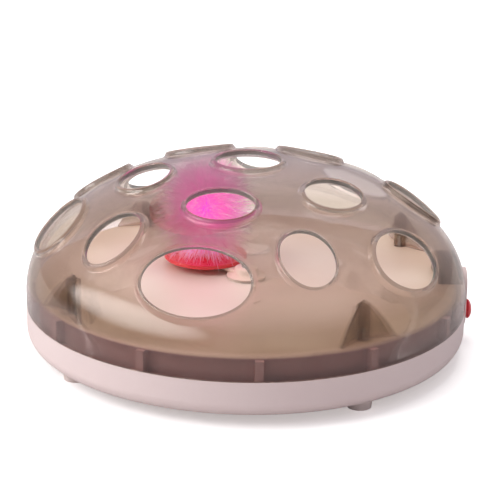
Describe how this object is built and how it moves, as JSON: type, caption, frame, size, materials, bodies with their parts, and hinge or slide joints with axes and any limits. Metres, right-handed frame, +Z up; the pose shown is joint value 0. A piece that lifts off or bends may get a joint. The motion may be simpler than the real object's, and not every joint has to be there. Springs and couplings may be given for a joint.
{
  "type": "automatic cat toy with a rotating feather",
  "caption": "Round battery cat toy: a feather tuft orbits on a motor driven rotor under a clear smoky dome with lipped paw holes, on a shallow base with feet.",
  "frame": {"origin": "on the floor under the dome's axis, at the bottom centre of the toy", "axes": "+Z up along the dome's and rotor's axis, +X out through the power button, -Y towards the side with the large front hole"},
  "size_m": [0.2841, 0.28, 0.1221],
  "materials": {
    "blush_plastic": "fine matt moulded surface",
    "cream_plastic": "fine matt moulded surface",
    "smoky_plastic": "clear, polished",
    "red_plastic": "glossy",
    "dark_plastic": "matt",
    "white_plastic": "matt",
    "feather_pink": "loose soft fibres",
    "foot_rubber": "matt",
    "steel": "plated",
    "nickel": "nickel plated",
    "bronze": "sintered",
    "board": "solder resist",
    "cell_wrap": "plain sleeve"
  },
  "bodies": {
    "housing": {"base_tray": "blush_plastic", "deck": "cream_plastic", "dome": "smoky_plastic", "feet": "foot_rubber", "case_screws": "steel", "battery_door": "blush_plastic", "door_screw": "steel", "batteries": "cell_wrap", "battery_contacts": "nickel", "gearbox_base": "white_plastic", "gearbox_cover": "white_plastic", "gearbox_screws": "steel", "lower_bush": "bronze", "upper_bush": "bronze", "motor": "steel", "idler_pin": "steel", "switch_bezel": "blush_plastic", "circuit_board": "board", "tact_switch": "dark_plastic"},
    "rotor": {"output_gear": "white_plastic", "output_shaft": "steel", "retaining_ring": "steel", "rotor_arm": "dark_plastic", "hub_screw": "steel", "carrier_disc": "red_plastic", "carrier_screw": "steel", "feather_socket": "red_plastic", "feather_stem": "dark_plastic", "feather_tuft": "feather_pink"},
    "idler": {"idler_gear": "white_plastic"},
    "pinion": {"motor_pinion": "white_plastic"},
    "button": {"power_button": "red_plastic", "switch_plunger": "dark_plastic"}
  },
  "joints": [
    {"name": "rotor_spin", "type": "hinge", "parent": "housing", "child": "rotor", "pos_m": [0, 0, 0.045], "axis": [0, 0, 1], "continuous": true},
    {"name": "idler_spin", "type": "hinge", "parent": "housing", "child": "idler", "pos_m": [0, 0.024, 0.024], "axis": [0, 0, 1], "continuous": true},
    {"name": "motor_spin", "type": "hinge", "parent": "housing", "child": "pinion", "pos_m": [0, 0.048, 0.026], "axis": [0, 0, 1], "continuous": true},
    {"name": "power_button_press", "type": "slide", "parent": "housing", "child": "button", "axis": [-1, 0, 0], "range_m": [0, 0.0015], "stiffness_N_per_m": 300}
  ],
  "couplings": [
    {"joint": "idler_spin", "follows": "rotor_spin", "ratio": -4},
    {"joint": "motor_spin", "follows": "rotor_spin", "ratio": 16}
  ]
}
